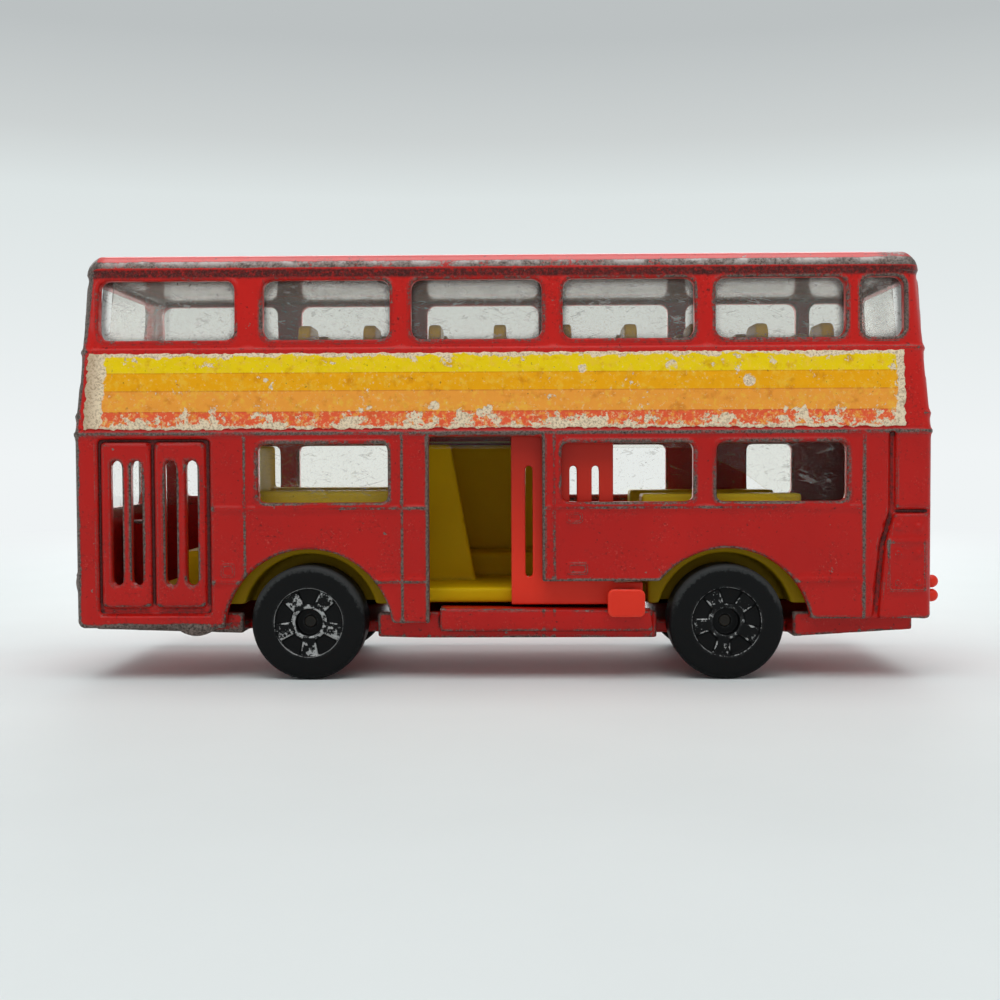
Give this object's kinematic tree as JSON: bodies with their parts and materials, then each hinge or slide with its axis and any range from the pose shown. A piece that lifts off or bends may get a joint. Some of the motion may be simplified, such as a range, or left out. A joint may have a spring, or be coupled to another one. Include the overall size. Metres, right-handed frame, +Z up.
{
  "type": "toy bus",
  "caption": "Die-cast toy double-decker bus with moulded decks, clear glazing, a centre door that slides by a finger tab, and free-rolling wheels on plain axles.",
  "frame": {"origin": "on the ground under the middle of the body", "axes": "front towards -X, door side towards -Y, +Z up"},
  "size_m": [0.0732, 0.0222, 0.0358],
  "materials": {
    "red_paint": "gloss",
    "yellow_plastic": "satin",
    "orange_plastic": "satin",
    "clear_plastic": "gloss",
    "black_plastic": "satin",
    "axle_steel": "satin",
    "label_paper": "matte"
  },
  "bodies": {
    "bus": {"body_shell": "red_paint", "baseplate": "red_paint", "lower_deck": "yellow_plastic", "upper_deck": "yellow_plastic", "lower_glazing": "clear_plastic", "upper_glazing": "clear_plastic", "rear_lamp_left": "orange_plastic", "rear_lamp_right": "orange_plastic", "left_label": "label_paper", "right_label": "label_paper"},
    "door": {"sliding_door": "orange_plastic"},
    "front_wheelset": {"front_axle": "axle_steel", "front_left_wheel": "black_plastic", "front_right_wheel": "black_plastic"},
    "rear_wheelset": {"rear_axle": "axle_steel", "rear_left_wheel": "black_plastic", "rear_right_wheel": "black_plastic"}
  },
  "joints": [
    {"name": "door_slide", "type": "slide", "parent": "bus", "child": "door", "axis": [-1, 0, 0], "range_m": [0, 0.0064]},
    {"name": "front_axle_spin", "type": "hinge", "parent": "bus", "child": "front_wheelset", "pos_m": [-0.0163, 0, 0.00485], "axis": [0, 1, 0], "continuous": true},
    {"name": "rear_axle_spin", "type": "hinge", "parent": "bus", "child": "rear_wheelset", "pos_m": [0.0189, 0, 0.00485], "axis": [0, 1, 0], "continuous": true}
  ]
}
